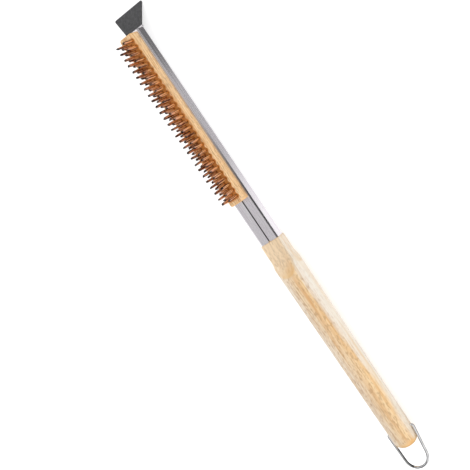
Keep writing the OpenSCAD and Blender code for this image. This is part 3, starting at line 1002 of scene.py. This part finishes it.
# %% [markdown]
# ## The camera
# It stands where the photograph was taken: on the brush's near side, 60 degrees up, and rolled so
# that the brush runs from the top left to the bottom right. These angles came from fitting the
# brush's sizes to the photograph, so the outline falls within about a pixel of the one there.

# %% Set up the camera
AIM = Vector((0.02634, 0.03202, 0.01815))
AZIMUTH, ELEVATION, ROLL = math.radians(5.688), math.radians(59.835), math.radians(-128.967)
DISTANCE = 1.10495
LENS = 84.475

back = Vector((math.sin(AZIMUTH) * math.cos(ELEVATION), -math.cos(AZIMUTH) * math.cos(ELEVATION),
               math.sin(ELEVATION)))
camera = bpy.data.objects.new("camera", bpy.data.cameras.new("camera"))
camera.data.lens = LENS
camera.data.sensor_width = 36.0
camera.rotation_mode = "QUATERNION"
camera.rotation_quaternion = (-back).to_track_quat("-Z", "Y") @ Quaternion((0, 0, 1), ROLL)
camera.location = AIM + back * DISTANCE
bpy.context.scene.collection.objects.link(camera)
bpy.context.scene.camera = camera
print("camera at", tuple(round(c, 4) for c in camera.location))

# %% [markdown]
# ## Light and background
# The photograph is a plain catalogue picture on white. The world gives even light from all round,
# and it is white to the camera and in reflections. One soft lamp on the near side makes that side
# of the wood a little lighter, as in the picture. Steel shows what stands round it and nothing
# else, so cards that only reflections see give it its tones, as grey boards do in a studio. A dark
# one stands for the scraper, and two hang over the tube's front and its head. Three on the near
# side serve the tube's wall and its fold, and their greys change along the brush. Three nearly
# black ones draw the outlines of the bail.


# %% The world
def white_world(ambient):
    """White to the camera and in reflections, and light of the given strength on all else."""
    world = bpy.data.worlds.new("white_studio")
    world.use_nodes = True
    bpy.context.scene.world = world
    tree = world.node_tree
    shade = tree.nodes["Background"]
    shade.inputs["Color"].default_value = (1, 1, 1, 1)
    ray = tree.nodes.new("ShaderNodeLightPath").outputs
    seen = reckon(tree, "MAXIMUM", ray["Is Camera Ray"], ray["Is Glossy Ray"])
    seen = reckon(tree, "MAXIMUM", seen, ray["Is Transmission Ray"])
    tree.links.new(spread(tree, seen, 0, 1, ambient, 1.0), shade.inputs["Strength"])


AMBIENT = 0.93
white_world(AMBIENT)
bpy.context.scene.view_settings.view_transform = "Standard"
print("white world, with ambient light of", AMBIENT)


# %% The lamp
def soft_lamp(name, place, towards, size, power):
    """A soft rectangular lamp that doesn't show in reflections."""
    lamp = bpy.data.lights.new(name, "AREA")
    lamp.shape = "RECTANGLE"
    lamp.size, lamp.size_y = size
    lamp.energy = power
    holder = bpy.data.objects.new(name, lamp)
    holder.location = place
    holder.rotation_mode = "QUATERNION"
    holder.rotation_quaternion = (Vector(towards) - Vector(place)).to_track_quat("-Z", "Y")
    bpy.context.scene.collection.objects.link(holder)
    holder.visible_glossy = False


soft_lamp("near_lamp", place=(-0.8, -1.3, 0.45), towards=(0, 0, 0), size=(0.9, 0.6), power=6)
print("one soft lamp on the near side")


# %% Flat pieces of the stage
def level(centre, long_x, long_y):
    """Matrix of a level sheet."""
    return Matrix.Translation(centre) @ Matrix.Diagonal((long_x, long_y, 1, 1))


def placed(centre, towards, wide, high):
    """Matrix of a sheet with the given centre, that faces a point."""
    turn = (Vector(towards) - Vector(centre)).to_track_quat("Z", "Y").to_matrix().to_4x4()
    return Matrix.Translation(centre) @ turn @ Matrix.Diagonal((wide, high, 1, 1))


def sheet_of(name, matrix, shade):
    """A flat stage piece: size and place come from a matrix, its own light from shade."""
    bm = bmesh.new()
    bmesh.ops.create_grid(bm, x_segments=1, y_segments=1, size=0.5)
    bmesh.ops.transform(bm, matrix=matrix, verts=bm.verts)
    mesh = bpy.data.meshes.new(name)
    bm.to_mesh(mesh)
    bm.free()
    mesh.materials.append(shade)
    piece = bpy.data.objects.new(name, mesh)
    bpy.context.scene.collection.objects.link(piece)
    return piece


# %% The floor
FLOOR_SIDE = 14.0
FLOOR_PAINT = 0.80
FLOOR_GLOW = 0.50


def floor_finish():
    """Plain white paint that keeps the shadow, with a little light of its own to the camera only."""
    finish, tree, surface = empty_material("white_floor")
    paint = tree.nodes.new("ShaderNodeBsdfDiffuse")
    paint.inputs["Color"].default_value = (FLOOR_PAINT, FLOOR_PAINT, FLOOR_PAINT, 1)
    glow = tree.nodes.new("ShaderNodeEmission")
    to_camera = tree.nodes.new("ShaderNodeLightPath").outputs["Is Camera Ray"]
    tree.links.new(spread(tree, to_camera, 0, 1, 0.0, FLOOR_GLOW), glow.inputs["Strength"])
    both = tree.nodes.new("ShaderNodeAddShader")
    for part, light in enumerate((paint, glow)):
        tree.links.new(light.outputs[0], both.inputs[part])
    tree.links.new(both.outputs[0], surface)
    return finish


sheet_of("floor", level((0, 0, 0), FLOOR_SIDE, FLOOR_SIDE), floor_finish())
print("floor of", FLOOR_SIDE, "m")


# %% The cards that only reflections see
def card_finish(name, greys, strength):
    """A card that glows in one grey, or in greys along X, as stops (place in metres, grey)."""
    finish, tree, surface = empty_material(name)
    glow = tree.nodes.new("ShaderNodeEmission")
    glow.inputs["Strength"].default_value = strength
    tree.links.new(glow.outputs[0], surface)
    if isinstance(greys, float):
        glow.inputs["Color"].default_value = (greys, greys, greys, 1)
        return finish
    low, high = greys[0][0], greys[-1][0]
    along = spread(tree, parts_of(tree, "Object")["X"], low, high)
    stops = [((x - low) / (high - low), (grey,) * 3) for x, grey in greys]
    tree.links.new(colours(tree, along, stops), glow.inputs["Color"])
    return finish


def reflected_card(name, matrix, greys, strength=1.0):
    card = sheet_of(name, matrix, card_finish(name, greys, strength))
    card.visible_camera = card.visible_diffuse = card.visible_shadow = card.visible_transmission = False


NEARLY_BLACK = 0.01
beside_greys = [(0.0, 1.0), (0.03, 0.96), (0.062, 0.78), (0.095, 0.53), (0.13, 0.48), (0.18, 0.44),
                (0.215, 0.22), (0.235, 0.16)]
near_greys = [(-0.06, 0.02), (0.05, 0.02), (0.09, 0.12), (0.13, 0.42), (0.20, 0.75), (0.26, 0.35),
              (0.32, 0.2)]
cards = [
    ("scraper_card", placed((1.15, 0.72, 0.72), (0.25, 0, 0.01), 1.1, 1.1), 0.19),
    ("front_card", placed((-0.10, 0.80, 1.40), (0, 0, 0), 0.9, 1.0), 0.66),
    ("head_card", placed((0.62, 0.80, 1.30), (0.25, 0, 0.02), 0.45, 1.0), 1.0, 1.4),
    ("near_card", placed((0.13, -0.17, 0.23), (0.13, 0.014, 0.046), 0.38, 0.65), near_greys),
    ("low_card", level((0.12, -0.131, 0.0006), 0.50, 0.15), near_greys),
    ("beside_card", level((0.12, -0.033, 0.0005), 0.50, 0.046), beside_greys, 1.25),
    ("far_end_card", placed((-0.44, 0.26, 0.21), (-0.26, 0, 0.02), 0.5, 0.5), NEARLY_BLACK),
    ("under_bail_card", level((-0.255, -0.035, 0.0006), 0.09, 0.095), NEARLY_BLACK),
    ("inside_bail_card", placed((-0.256, 0.0078, 0.0236), (-0.256, 0.0142, 0.0206), 0.034, 0.010),
     NEARLY_BLACK),
]
for card in cards:
    reflected_card(*card)
print("floor and", len(cards), "cards are stage, not part of the brush")
